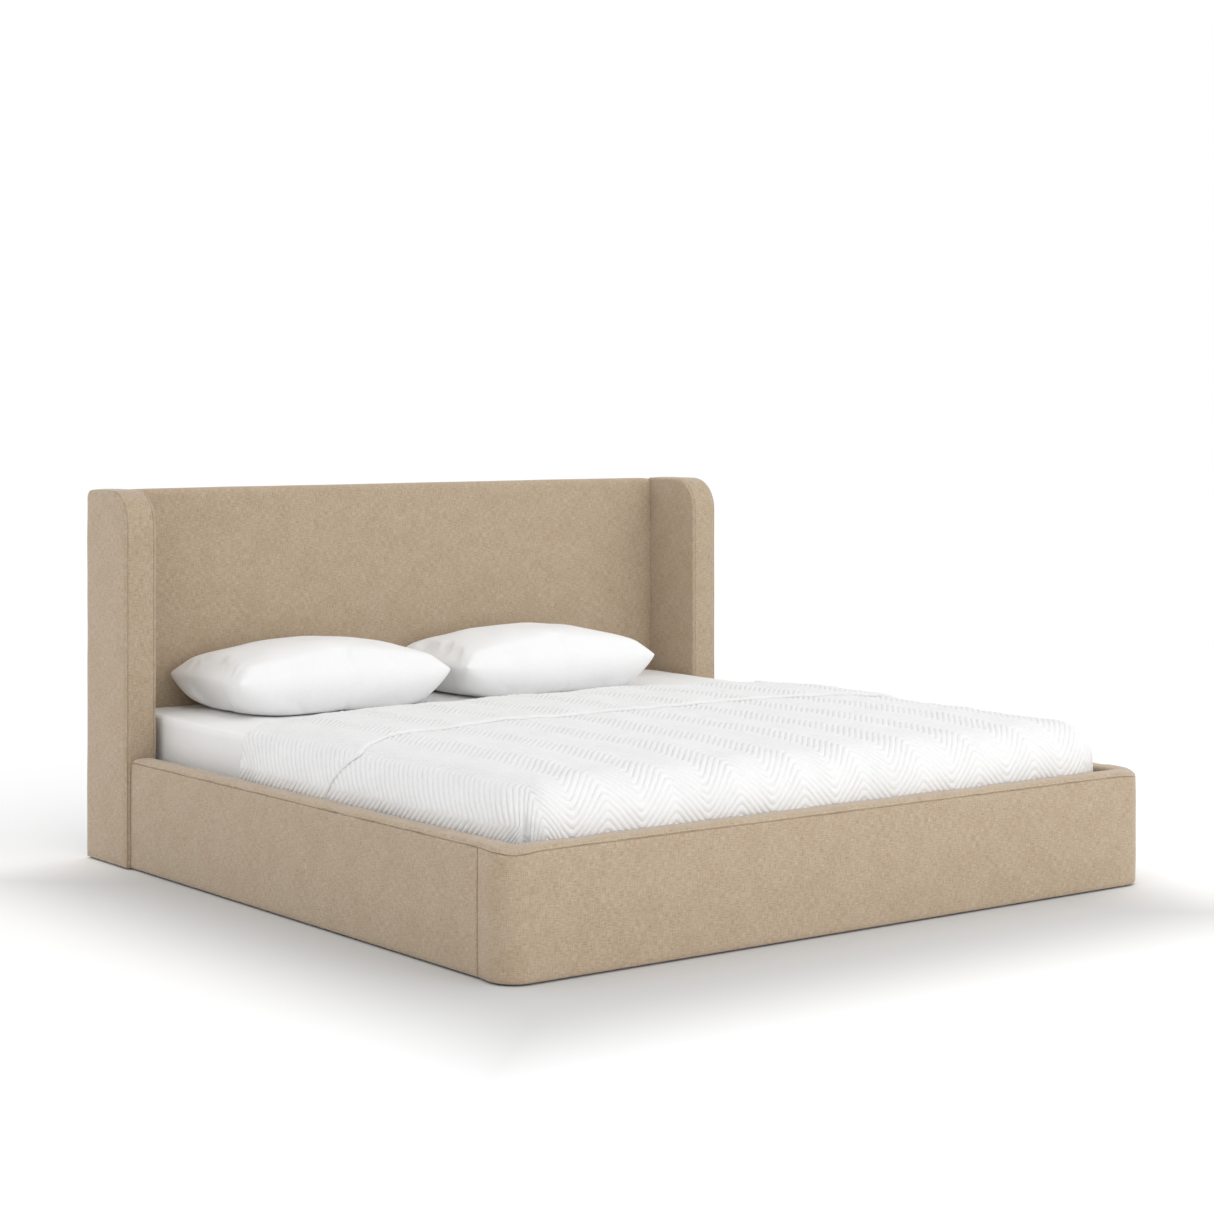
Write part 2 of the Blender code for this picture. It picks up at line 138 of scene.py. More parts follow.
def woven(name, dark, light, tint, slub, thread, contrast, roughness, sheen, relief, mottle_mm=85, tint_share=0.5):
    """Woven cloth on the piece's own flat map: slubby yarns both ways, slow shade changes and thread relief.

    slub is a thick yarn's length and width, thread the yarn spacing, both in mm; relief is in metres.
    """
    mat, tree, shader = surface(name, roughness, Sheen_Weight=sheen, Sheen_Roughness=0.45, IOR=1.45)
    flat = node(tree, "ShaderNodeUVMap", uv_map=UV).outputs["UV"]

    def pattern(kind, size, settings=None, **inputs):
        placed = node(tree, "ShaderNodeMapping", {"Vector": flat, "Scale": per_mm(*size)}).outputs["Vector"]
        return node(tree, kind, {"Vector": placed, "Scale": 1.0, **inputs}, **(settings or {})).outputs["Fac"]
    weft = pattern("ShaderNodeTexNoise", slub, Detail=3.0, Roughness=0.6)
    warp = pattern("ShaderNodeTexNoise", (slub[1] * 1.15, slub[0] * 1.2), Detail=3.0, Roughness=0.6)
    fleck = pattern("ShaderNodeTexNoise", (slub[1] * 0.8, slub[1] * 0.8), Detail=2.0)
    mottle = pattern("ShaderNodeTexNoise", (mottle_mm, mottle_mm), Detail=2.0, Roughness=0.55)
    yarn = node(tree, "ShaderNodeMath", {0: weft, 1: 0.5, 2: node(tree, "ShaderNodeMath", {
        0: warp, 1: 0.4, 2: node(tree, "ShaderNodeMath", {0: fleck, 1: 0.1}, operation="MULTIPLY").outputs[0]},
        operation="MULTIPLY_ADD").outputs[0]}, operation="MULTIPLY_ADD").outputs[0]
    shade = node(tree, "ShaderNodeMapRange", {"Value": yarn, "From Min": 0.5 - contrast, "From Max": 0.5 + contrast})
    colour = blend(tree, shade.outputs["Result"], linear(dark), linear(light))
    patch = node(tree, "ShaderNodeMapRange", {"Value": mottle, "From Min": 0.42, "From Max": 0.62,
                                              "To Max": tint_share}, interpolation_type="SMOOTHSTEP")
    colour = blend(tree, patch.outputs["Result"], colour, linear(tint), blend_type="MULTIPLY")
    # over-and-under of the threads
    across, along = (pattern("ShaderNodeTexWave", (thread * WAVE, thread * WAVE), {"bands_direction": way},
                             Distortion=0.4) for way in "XY")
    threads = node(tree, "ShaderNodeMath", {0: across, 1: along}, operation="MULTIPLY").outputs[0]
    height = node(tree, "ShaderNodeMath", {0: threads, 1: 0.5, 2: yarn}, operation="MULTIPLY_ADD").outputs[0]
    finish(tree, shader, colour, height, 0.7, relief)
    return mat


def timber(name, early, late, turn, ring_mm, roughness=0.55, ply=None):
    """Planed wood on object coordinates; turn brings the grain to this piece's long way.

    Growth rings are long wavering bands. With ply, thin glue lines cross the thickness (that axis's number).
    """
    mat, tree, shader = surface(name, roughness, Coat_Weight=0.04, Coat_Roughness=0.5)
    place = node(tree, "ShaderNodeTexCoord").outputs["Object"]
    grain = node(tree, "ShaderNodeMapping", {"Vector": place, "Rotation": turn,
                                             "Scale": (0.6, 1000 / ring_mm / WAVE, 1000 / ring_mm / WAVE)})
    rings = node(tree, "ShaderNodeTexWave", {"Vector": grain.outputs["Vector"], "Scale": 1.0, "Distortion": 5.0,
                                             "Detail": 2.0, "Detail Scale": 0.6}, bands_direction="Y")
    fibre_at = node(tree, "ShaderNodeMapping", {"Vector": place, "Rotation": turn, "Scale": per_mm(120, 0.9, 0.9)})
    fibre = node(tree, "ShaderNodeTexNoise", {"Vector": fibre_at.outputs["Vector"], "Scale": 1.0, "Detail": 3.0})
    mixed = node(tree, "ShaderNodeMath", {0: fibre.outputs["Fac"], 1: 0.45, 2: node(tree, "ShaderNodeMath", {
        0: rings.outputs["Fac"], 1: 0.6}, operation="MULTIPLY").outputs[0]}, operation="MULTIPLY_ADD").outputs[0]
    colour = blend(tree, mixed, linear(early), linear(late))
    if ply is not None:
        scale = [0.0, 0.0, 0.0]
        scale[ply] = 1000 / 3.0 / WAVE        # 3 mm from one glue line to the next
        lines = node(tree, "ShaderNodeTexWave", {"Vector": node(tree, "ShaderNodeMapping", {
            "Vector": place, "Scale": tuple(scale)}).outputs["Vector"], "Scale": 1.0},
            bands_direction="XYZ"[ply]).outputs["Fac"]
        glue = node(tree, "ShaderNodeMapRange", {"Value": lines, "From Min": 0.75, "To Max": 0.5}).outputs["Result"]
        colour = blend(tree, glue, colour, linear("#7d5a38"))
    finish(tree, shader, colour, mixed, 0.3, 0.0004)
    return mat


def grained(name, low, high, size_mm, roughness, relief, metallic=0.0, kind="ShaderNodeTexNoise", **extra):
    """Metal, plastic or felted surface: one fine grain moves the colour between two close shades and lifts the bump."""
    mat, tree, shader = surface(name, roughness, metallic, **extra)
    place = node(tree, "ShaderNodeMapping", {"Vector": node(tree, "ShaderNodeTexCoord").outputs["Object"],
                                             "Scale": per_mm(size_mm, size_mm, size_mm)}).outputs["Vector"]
    grain = node(tree, kind, {"Vector": place, "Scale": 1.0})
    out = grain.outputs["Fac"] if "Fac" in grain.outputs else grain.outputs["Distance"]
    finish(tree, shader, blend(tree, out, linear(low), linear(high)), out, 0.5, relief)
    return mat


# Linen-look polyester, plain woven from slub yarn and piece dyed: matt, flecked, with a slow drift in shade.
# Real threads are about 0.9 mm apart; they are drawn at 2.2 mm, the finest that shows across a room.
LINEN = woven("linen_look_polyester", "#8e7a61", "#cab8a1", "#f1e9df", slub=(17, 2.1), thread=2.2, contrast=0.20,
              roughness=0.92, sheen=0.30, relief=0.0010, tint_share=0.25)
# White cotton percale, calendered smooth: even, faintly crisp, threads drawn at 1.2 mm instead of 0.25 mm.
PERCALE = woven("cotton_percale_sheet", "#e8e8e8", "#f0f0f0", "#fafafa", slub=(14, 1.6), thread=1.2, contrast=0.25,
                roughness=0.80, sheen=0.10, relief=0.00018, mottle_mm=160, tint_share=0.4)
PILLOWCASE = woven("cotton_percale_pillowcase", "#e8e8e8", "#f0f0f0", "#fbfbfb", slub=(14, 1.6), thread=1.2,
                   contrast=0.25, roughness=0.80, sheen=0.12, relief=0.00018, mottle_mm=120, tint_share=0.4)
# White cotton matelasse: soft, thick and puckered between the raised ribs, crinkle of 4 mm and less.
MATELASSE = woven("cotton_matelasse", "#e0e0e0", "#ececec", "#fafafa", slub=(8, 4.0), thread=1.8, contrast=0.25,
                  roughness=0.90, sheen=0.10, relief=0.0010, mottle_mm=140, tint_share=0.4)
# Spun polyester sewing thread, dyed a shade lighter than the cloth.
THREAD = grained("spun_polyester_thread", "#c4b5a0", "#d3c6b3", 0.8, 0.75, 0.0001)
# Spun-bonded polypropylene dust cloth, black: felted fibres with a slight shine.
DUST_CLOTH = grained("spunbond_dust_cloth", "#0c0c0d", "#222224", 2.5, 0.70, 0.0005)
# Knitted mattress ticking: off-white, softly napped.
TICKING = grained("knitted_ticking", "#dedcd4", "#ecebe5", 3.0, 0.90, 0.0008, Sheen_Weight=0.15)
STAPLE_WIRE = grained("galvanised_staple_wire", "#9fa3a6", "#bdc0c2", 2.0, 0.35, 0.00005, metallic=1.0)
# Softwood, kiln dried and planed: pale early wood, ambered late wood about 4 mm apart.
PINE_X = timber("planed_pine_across", "#dfc192", "#c79a63", (0, 0, 0), 5.0)
PINE_Y = timber("planed_pine_along", "#dfc192", "#c79a63", (0, 0, math.pi / 2), 5.0)
PINE_Z = timber("planed_pine_upright", "#dfc192", "#c79a63", (0, math.pi / 2, 0), 5.0)
# Plywood, rotary cut face veneer and 3 mm plies, sanded.
PLYWOOD = {0: timber("sanded_plywood_wing", "#d9b98a", "#bd9460", (0, math.pi / 2, 0), 11.0, 0.6, ply=0),
           1: timber("sanded_plywood_board", "#d9b98a", "#bd9460", (0, 0, 0), 11.0, 0.6, ply=1)}
# Pressed steel, black epoxy powder coat with its fine orange peel.
POWDER_COAT = grained("black_powder_coat", "#161618", "#1f1f22", 1.4, 0.42, 0.00012)
# Zinc-plated turned steel: bluish grey with a faint cloudy bloom.
ZINC = grained("bright_zinc_plate", "#a9acb0", "#c3c6c9", 6.0, 0.32, 0.00006, metallic=1.0)
# Moulded black nylon, spark-eroded texture.
NYLON = grained("moulded_nylon", "#0f0f10", "#1b1b1c", 0.9, 0.50, 0.00015)


# ---- mesh tools ---------------------------------------------------------------------------------

def ripple(points, size, seed, waves=9):
    """Smooth fixed unevenness between about -1 and 1, with bumps of this size."""
    pick = np.random.default_rng(seed)
    total = np.zeros(points.shape[:-1])
    for _ in range(waves):
        way = pick.normal(size=3)
        way /= np.linalg.norm(way) * size * pick.uniform(0.75, 1.6)
        total += np.sin(2 * np.pi * (points @ way) + pick.uniform(0, 2 * np.pi))
    return total / math.sqrt(waves)


def step(low, high, x):
    t = np.clip((x - low) / (high - low), 0, 1)
    return t * t * (3 - 2 * t)


def normals(grid):
    """Unit normals of a grid of points."""
    n = np.cross(np.gradient(grid, axis=0), np.gradient(grid, axis=1))
    return n / np.maximum(np.linalg.norm(n, axis=-1, keepdims=True), 1e-12)


def run(points):
    """Distance along a line of points."""
    return np.concatenate([[0], np.cumsum(np.linalg.norm(np.diff(points, axis=0), axis=1))])


def place_mesh(name, mesh):
    obj = bpy.data.objects.new(name, mesh)
    bpy.context.scene.collection.objects.link(obj)
    return obj


def skin(name, grid, uv, mat, facing=None, drop=None, merge=2e-5):
    """Mesh object from a grid of points, with its flat cloth map in metres; drop leaves out faces by their middle."""
    rows, cols = grid.shape[:2]
    index = np.arange(rows * cols).reshape(rows, cols)
    quads = np.stack([index[:-1, :-1], index[1:, :-1], index[1:, 1:], index[:-1, 1:]], -1).reshape(-1, 4)
    points = grid.reshape(-1, 3)
    if drop is not None:
        quads = quads[~drop(points[quads].mean(1))]
    mesh = bpy.data.meshes.new(name)
    mesh.from_pydata(points, [], quads.tolist())
    layer = mesh.uv_layers.new(name=UV)
    layer.data.foreach_set("uv", uv.reshape(-1, 2)[quads.ravel()].astype(np.float32).ravel())
    bm = bmesh.new()
    bm.from_mesh(mesh)
    bmesh.ops.remove_doubles(bm, verts=bm.verts, dist=merge)
    bmesh.ops.dissolve_degenerate(bm, edges=bm.edges, dist=merge / 2)
    loose = [v for v in bm.verts if not v.link_faces]
    bmesh.ops.delete(bm, geom=loose, context="VERTS")
    bm.normal_update()
    middle = sum((v.co for v in bm.verts), Vector()) / len(bm.verts)
    sense = sum(f.normal.dot(Vector(facing) if facing else f.calc_center_median() - middle) * f.calc_area()
                for f in bm.faces)
    if sense < 0:
        bmesh.ops.reverse_faces(bm, faces=bm.faces)
    bm.to_mesh(mesh)
    bm.free()
    mesh.polygons.foreach_set("use_smooth", [True] * len(mesh.polygons))
    mesh.materials.append(mat)
    return place_mesh(name, mesh)


def thicken(obj, thickness=FABRIC):
    mod = obj.modifiers.new("cloth_thickness", "SOLIDIFY")
    mod.thickness = thickness
    mod.offset = -1.0
    return obj


def belong(obj, body, slot, *nodes):
    """Joins a finished piece to its body and hides the frame solids that it stands for; slot is not used."""
    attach(obj, body)
    if nodes:
        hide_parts(*nodes)
    return obj


def arc(cx, cz, r, start, stop, steps):
    turns = np.radians(np.linspace(start, stop, steps + 1))
    return [(cx + r * math.cos(t), cz + r * math.sin(t)) for t in turns]


# ---- stitches and staples: rods set along a path -----------------------------------------------------

def rod_row():
    """Geometry tree that sets a small item along the object's own line at an even pitch."""
    tree = bpy.data.node_groups.new("rods_along_a_line", "GeometryNodeTree")
    for label, kind in (("Line", "Geometry"), ("Item", "Object"), ("Pitch", "Float"), ("Wander", "Float"),
                        ("Finish", "Material")):
        tree.interface.new_socket(label, in_out="INPUT", socket_type=f"NodeSocket{kind}")
    tree.interface.new_socket("Rods", in_out="OUTPUT", socket_type="NodeSocketGeometry")
    given = node(tree, "NodeGroupInput").outputs
    line = node(tree, "GeometryNodeMeshToCurve", {"Mesh": given["Line"]}).outputs["Curve"]
    spots = node(tree, "GeometryNodeCurveToPoints", {"Curve": line, "Length": given["Pitch"]}, mode="LENGTH").outputs
    item = node(tree, "GeometryNodeObjectInfo", {"Object": given["Item"], "As Instance": True}).outputs["Geometry"]
    rods = node(tree, "GeometryNodeInstanceOnPoints", {"Points": spots["Points"], "Instance": item,
                                                       "Rotation": spots["Rotation"]}).outputs["Instances"]
    swing = node(tree, "FunctionNodeRandomValue", {"Seed": 7}, data_type="FLOAT")
    for socket, value in (("Min", -1.0), ("Max", 1.0)):
        next(s for s in swing.inputs if s.name == socket and s.type == "VALUE").default_value = value
    amount = node(tree, "ShaderNodeMath", {0: next(s for s in swing.outputs if s.type == "VALUE"),
                                           1: given["Wander"]}, operation="MULTIPLY").outputs[0]
    turn = node(tree, "ShaderNodeCombineXYZ", {"X": amount}).outputs[0]
    rods = node(tree, "GeometryNodeRotateInstances", {"Instances": rods, "Rotation": turn}).outputs[0]
    solid = node(tree, "GeometryNodeRealizeInstances", {"Geometry": rods}).outputs[0]
    done = node(tree, "GeometryNodeSetMaterial", {"Geometry": solid, "Material": given["Finish"]}).outputs[0]
    node(tree, "NodeGroupOutput", {"Rods": done})
    return tree


ROD_ROW = rod_row()


def capsule(length, radius, sides=6):
    """Small round-ended rod lying along Z: one stitch, or one staple crown."""
    bm = bmesh.new()
    profile = [(-0.5, 0.35), (-0.42, 0.85), (0, 1.0), (0.42, 0.85), (0.5, 0.35)]
    round_it = [(math.cos(2 * math.pi * k / sides), math.sin(2 * math.pi * k / sides)) for k in range(sides)]
    rings = [[bm.verts.new((radius * w * c, radius * w * s, z * length)) for c, s in round_it] for z, w in profile]
    for a, b in zip(rings, rings[1:]):
        for k in range(sides):
            bm.faces.new((a[k], a[(k + 1) % sides], b[(k + 1) % sides], b[k]))
    bm.faces.new(rings[0][::-1])
    bm.faces.new(rings[-1])
    mesh = bpy.data.meshes.new("rod")
    bm.to_mesh(mesh)
    bm.free()
    mesh.polygons.foreach_set("use_smooth", [True] * len(mesh.polygons))
    return bpy.data.objects.new("rod", mesh)


def rods(name, lines, length, radius, pitch, mat, body, slot, wander=0.0):
    """Plain mesh of rods along one or more lines of points."""
    verts, edges = [], []
    for line in lines:
        edges += [(len(verts) + k, len(verts) + k + 1) for k in range(len(line) - 1)]
        verts += [tuple(p) for p in line]
    mesh = bpy.data.meshes.new(f"{name}_line")
    mesh.from_pydata(verts, edges, [])
    obj = place_mesh(f"{name}_line", mesh)
    item = capsule(length, radius)
    mod = obj.modifiers.new("rods", "NODES")
    mod.node_group = ROD_ROW
    given = {s.name: s.identifier for s in ROD_ROW.interface.items_tree if s.in_out == "INPUT"}
    for label, value in (("Item", item), ("Pitch", pitch), ("Wander", wander), ("Finish", mat)):
        mod[given[label]] = value
    done = bpy.data.meshes.new_from_object(obj.evaluated_get(bpy.context.evaluated_depsgraph_get()))
    bpy.data.objects.remove(obj)
    bpy.data.objects.remove(item)
    done.name = name
    # one finish only: the bare line's empty slot goes
    done.materials.clear()
    done.materials.append(mat)
    done.polygons.foreach_set("material_index", [0] * len(done.polygons))
    return belong(place_mesh(name, done), body, slot)


# ---- side rails and foot section -------------------------------------------------------------------

RAIL_TOP = RAIL_HIGH.z
SEAM_Z = RAIL_TOP - EDGE_R - 0.0015       # top band's seam, just under the padded edge
STITCH_LINES = {}


def rail_section(width):
    """Closed-in profile of a padded rail cover as (depth from the outer face, height), inner flap to outer flap."""
    low, top = RAIL_LOW.z, RAIL_TOP
    points = [(width - TURN_UNDER, low + 0.0008), (width - 0.007, low), (width - 0.003, low + 0.0012),
              (width, low + 0.006)]
    points += [(width, z) for z in np.linspace(low + 0.02, top - EDGE_R - 0.008, 9)]
    points += arc(width - EDGE_R, top - EDGE_R, EDGE_R, 0, 90, 6)
    span = width - 2 * EDGE_R
    points += [(EDGE_R + span * (1 - f), top + 0.0014 * math.sin(math.pi * f)) for f in np.linspace(0.1, 0.9, 6)]
    points += arc(EDGE_R, top - EDGE_R, EDGE_R, 90, 180, 6)
    z = SEAM_Z
    points += [(0.0004, z + SEAM_W), (SEAM_D * 0.6, z + SEAM_W * 0.5), (SEAM_D, z), (SEAM_D * 0.6, z - SEAM_W * 0.5),
               (0.0, z - SEAM_W), (-0.0008, z - 2.6 * SEAM_W)]
    for f in np.linspace(0.06, 0.97, 20):
        height = z + (low + 0.006 - z) * f
        points.append((-0.0008 - 0.0012 * math.sin(math.pi * min(1.0, f * 1.1)) ** 0.8, height))
    points += [(0.0, low + 0.005), (0.003, low + 0.0012), (0.007, low), (TURN_UNDER, low + 0.0008)]
    return np.array(points)


def swept_cover(name, outer, inner, end_drop, turned, seed, sag=None):
    """Padded cover swept round a plan path. Its ends turn in on a small radius and stand open below the band's seam;
    end_drop is how far the top edge rolls down at the far end, sag how far the outer edge sinks at each station."""
    outer, inner = np.array(outer), np.array(inner)
    width = np.linalg.norm(outer - inner, axis=1).max()
    section = rail_section(width)
    along, round_it = run(outer), run(section)
    grid = np.zeros((len(outer), len(section), 3))
    open_part = section[:, 1] < SEAM_Z + 0.001
    for k, (o, i) in enumerate(zip(outer, inner)):
        near, far = along[k] - along[1], along[-2] - along[k]
        close = min(near, far)
        e = np.where(open_part, END_R, 0.001) * quarter_round(close, END_R) + (FLANGE if close < 0 else 0)
        depth = width / 2 + (section[:, 0] - width / 2) * (1 - 2 * e / width)
        share = (depth / width)[:, None]
        grid[k, :, :2] = o + (i - o) * share
        ahead = outer[min(k + 1, len(outer) - 1)] - outer[max(k - 1, 0)]
        apart = JOINT_OPEN * max(0.0, 1 - max(close, 0) / 0.012) * (1 if near < far else -1)
        grid[k, :, :2] += np.outer(open_part * apart, ahead / np.linalg.norm(ahead))
        roll = end_drop * quarter_round(far, 2 * end_drop) if end_drop else 0
        if sag is not None:
            roll = roll + sag[k] * step(0.045, 0.0, section[:, 0])
        height = section[:, 1]
        grid[k, :, 2] = height - e * step(0.1, RAIL_TOP, height) - roll * step(SEAM_Z - 0.02, RAIL_TOP, height)
    n = normals(grid)
    if n[len(outer) // 2, len(section) // 2, 2] < 0:
        n = -n
    flat_part = step(0.012, 0.06, grid[..., 2])
    pucker = np.exp(-np.abs(grid[..., 2] - SEAM_Z) / 0.012) * (section[:, 0] < EDGE_R)
    move = 0.0007 * ripple(grid, 0.16, seed) * flat_part + 0.00035 * ripple(grid, 0.028, seed + 1) * pucker
    grid += n * move[..., None]
    u = np.broadcast_to(along[:, None], grid.shape[:2])
    v = np.broadcast_to(round_it[None, :], grid.shape[:2])
    uv = np.stack([v, u] if turned else [u, v], -1) + seed * 0.37
    obj = thicken(skin(name, grid, uv, LINEN))
    k = int(np.argmin(np.abs(section[:, 1] - (SEAM_Z + 0.0042)) + (section[:, 0] > EDGE_R)))
    STITCH_LINES[name] = grid[:, k] + n[:, k] * 0.0001
    return obj


def quarter_round(distance, r):
    """1 at the very end of a round of radius r, 0 where it begins."""
    return 1 - math.sqrt(max(0.0, 1 - (1 - min(1.0, max(distance, 0) / r)) ** 2))


def spaced(start, stop, pitch):
    return np.linspace(start, stop, max(2, int(round(abs(stop - start) / pitch)) + 1))


def side_rail(label, side):
    y0, y1 = RAIL_LOW.y, RAIL_HIGH.y
    x_out, x_in = side * RAIL_HIGH.x, side * RAIL_LOW.x
    ys = np.concatenate([[y0 + 0.0002], y0 + np.array([0, 0.0008, 0.002, 0.004]),
                         spaced(y0 + 0.012, y1 - 0.045, 0.0125),
                         y1 - np.array([0.034, 0.026, 0.019, 0.013, 0.008, 0.004, 0.002, 0.0008, 0.0]), [y1 - 0.0002]])
    name = f"side_rail_upholstery_{label}"
    obj = swept_cover(name, [(x_out, y) for y in ys], [(x_in, y) for y in ys], 0.016, True,
                      3 if side < 0 else 4)
    belong(obj, "frame", "upholstery", f"side_rail_cover_{label}", f"side_rail_foam_{label}")


def foot_section():
    y0, y1 = FOOT_LOW.y, FOOT_HIGH.y
    x_out, x_in, thick, r, inner_r = FOOT_HIGH.x, RAIL_LOW.x, FOOT_THICK, FOOT_CORNER_R, FOOT_INNER_R
    turn = np.radians(np.linspace(0, 90, 15))
    straight = y1 - np.array([0.0002, 0, 0.0008, 0.002, 0.004, 0.012, 0.022, 0.034, 0.045])
    flush = RAIL_HIGH.x + 0.0005
    outer = [(-(flush + (x_out - flush) * step(y1 - 0.004, y0 + r, y)), y) for y in straight]
    outer += [(-x_out + r - r * math.cos(t), y0 + r - r * math.sin(t)) for t in turn]
    inner = [(-x_in, y) for y in straight]
    inner += [(-x_in + inner_r - inner_r * math.cos(t), y0 + thick + inner_r - inner_r * math.sin(t)) for t in turn]
    xs = spaced(-x_out + r, 0, 0.0125)[1:]
    outer += [(x, y0) for x in xs]
    inner += [(x * (x_in - inner_r) / (x_out - r), y0 + thick) for x in xs]
    outer += [(-x, y) for x, y in outer[-2::-1]]
    inner += [(-x, y) for x, y in inner[-2::-1]]
    # the cloth is pulled down round the two corners
    sag = np.array([CORNER_SAG * math.exp(-((x_out - r * 0.45 - abs(x)) / 0.045) ** 2
                                          - ((y - y0 - r * 0.3) / 0.05) ** 2) for x, y in outer])
    obj = swept_cover("foot_upholstery", outer, inner, 0.0, False, 5, sag)
    belong(obj, "frame", "upholstery", "foot_cover", "foot_foam")


# ---- wings ------------------------------------------------------------------------------------------

def wing(label, side):
    """Boxed wing: two side panels joined by a band that runs up the front and over the top."""
    y0, y1, z0, top = WING_LOW.y, WING_HIGH.y, WING_LOW.z, WING_HIGH.z
    width = WING_HIGH.x - WING_LOW.x
    ups = np.linspace(0, 1, 64)
    over = np.linspace(0, 1, 12)[1:-1]

    def outline(t):
        r, rear = max(WING_CORNER_R - t, 0.0), max(WING_REAR_R - t, 0.0)
        low, roof, back = z0 + t, top - t, y1 - t
        front = [(y0 + t, low + (roof - r - low) * f) for f in ups]
        bend = arc(y0 + t + r, roof - r, r, 180, 90, 12)[1:]
        across = [(bend[-1][0] + (back - rear - bend[-1][0]) * f, roof) for f in over]
        bend_back = arc(back - rear, roof - rear, rear, 90, 0, 7)
        across += bend_back[:-1]
        down = [(back, low + (roof - rear - low) * f) for f in ups[::-1]]
        under = [(back + (y0 + t - back) * f, low) for f in over]
        return np.array(front + bend + across + down + under + front[:1])
    # (distance from the inner face, how far the outline is drawn in)
    panel = [0.13, 0.11, 0.09, 0.07, 0.05, 0.034, 0.022, 0.013]
    seam_in, seam_out = 0.0090, width - 0.0052
    line = [(0.0 - 0.0015 * math.sin(min(1, t / 0.1) * math.pi / 2), t) for t in panel]
    line += [(0.0, 0.0075), (0.0006, 0.0042), (0.0020, 0.0018), (0.0042, 0.0004), (0.0066, 0.0)]
    line += [(seam_in - SEAM_W, 0.0002), (seam_in, SEAM_D), (seam_in + SEAM_W, 0.0002)]
    line += [(seam_in + (seam_out - seam_in) * f, -0.0014 * math.sin(math.pi * f)) for f in np.linspace(0.07, 0.93, 9)]
    line += [(seam_out - SEAM_W, 0.0002), (seam_out, SEAM_D), (seam_out + SEAM_W, 0.0010)]
    line += [(width - 0.0018, 0.0036), (width - 0.0004, 0.0078), (width, 0.0120)]
    line += [(width + 0.0020 * math.sin(min(1, t / 0.1) * math.pi / 2), t) for t in panel[::-1]]
    rims = [outline(t) for _, t in line]
    grid = np.stack([np.column_stack([np.full(len(rim), side * (WING_LOW.x + x)), rim])
                     for (x, _), rim in zip(line, rims)])
    n = normals(grid)
    if n[3, 20, 0] * side > 0:
        n = -n
    n[:len(panel)], n[-len(panel):] = (-side, 0, 0), (side, 0, 0)
    seed = 11 if side < 0 else 12
    quiet = step(0.0, 0.05, grid[..., 2])
    grid += n * (0.0007 * ripple(grid, 0.15, seed) * quiet)[..., None]
    grid[:, -1] = grid[:, 0]
    # flat map: side panels by place with the cloth's length upright, the band by its run
    outer_run = run(rims[len(line) // 2])
    band = np.array([panel[-1] > t for _, t in line])
    uv = np.zeros(grid.shape[:2] + (2,))
    for k, (x, t) in enumerate(line):
        uv[k] = np.column_stack([np.full(len(outer_run), x), outer_run]) if band[k] else \
            np.column_stack([rims[k][:, 1], rims[k][:, 0]])
    mid = WING_LOW.x + width / 2

    def under(p):
        return (p[:, 2] < z0 + 0.003) & (np.abs(np.abs(p[:, 0]) - mid) < width / 2 - TURN_UNDER)
    name = f"wing_upholstery_{label}"
    obj = thicken(skin(name, grid, uv + seed * 0.29, LINEN, drop=under, merge=6e-5))
    belong(obj, "frame", "upholstery", f"wing_cover_{label}", f"wing_foam_{label}")
    shown = slice(2, len(ups) + 12 + len(over))
    k = len(panel) + 5
    STITCH_LINES[f"{name}_inner"] = grid[k + 3, shown] + n[k + 3, shown] * 0.0002
    STITCH_LINES[f"{name}_outer"] = grid[k + 11, shown] + n[k + 11, shown] * 0.0002


# ---- headboard panel and its back ---------------------------------------------------------------------

def headboard():
    half = PANEL_HIGH.x
    y0, y1, low, top, back_low = PANEL_LOW.y, PANEL_HIGH.y, PANEL_LOW.z, PANEL_HIGH.z, LINING_HIGH.z + 0.002
    r = (y1 - y0) / 2
    section = [(y0, z) for z in spaced(low, top - r - 0.012, 0.014)]
    section += arc((y0 + y1) / 2, top - r, r, 180, 0, 14) + [(y1, z) for z in (top - r - 0.006, back_low)]
    section = np.array(section)
    xs = np.concatenate([-half + np.array([0.0, 0.0015, 0.004, 0.008, 0.014, 0.022, 0.032]),
                         spaced(-half + 0.045, half - 0.045, 0.0155),
                         half - np.array([0.032, 0.022, 0.014, 0.008, 0.004, 0.0015, 0.0])])
    from_side = (half - np.abs(xs))[:, None]
    grid = np.zeros((len(xs), len(section), 3))
    grid[..., 0] = xs[:, None]
    grid[..., 1] = section[None, :, 0]
    grid[..., 2] = section[None, :, 1]
    front = 1 - step(y0, y1 - 0.008, grid[..., 1])
    fall = 0.0085 * np.exp(-from_side / 0.028) + 0.0020 * np.exp(-from_side / 0.12)
    grid[..., 1] += fall * front
    grid[..., 2] -= (0.0045 * np.exp(-from_side / 0.020)) * step(top - 2.2 * r, top, grid[..., 2])
    n = normals(grid)
    if n[len(xs) // 2, 5, 1] > 0:
        n = -n
    grid += n * (0.0009 * ripple(grid, 0.19, 21) + 0.0003 * ripple(grid, 0.06, 22))[..., None] * front[..., None]
    uv = np.stack(np.broadcast_arrays(xs[:, None], run(section)[None, :]), -1)
    obj = thicken(skin("headboard_upholstery", grid, uv, LINEN))
    belong(obj, "frame", "upholstery", "headboard_cover", "headboard_foam")


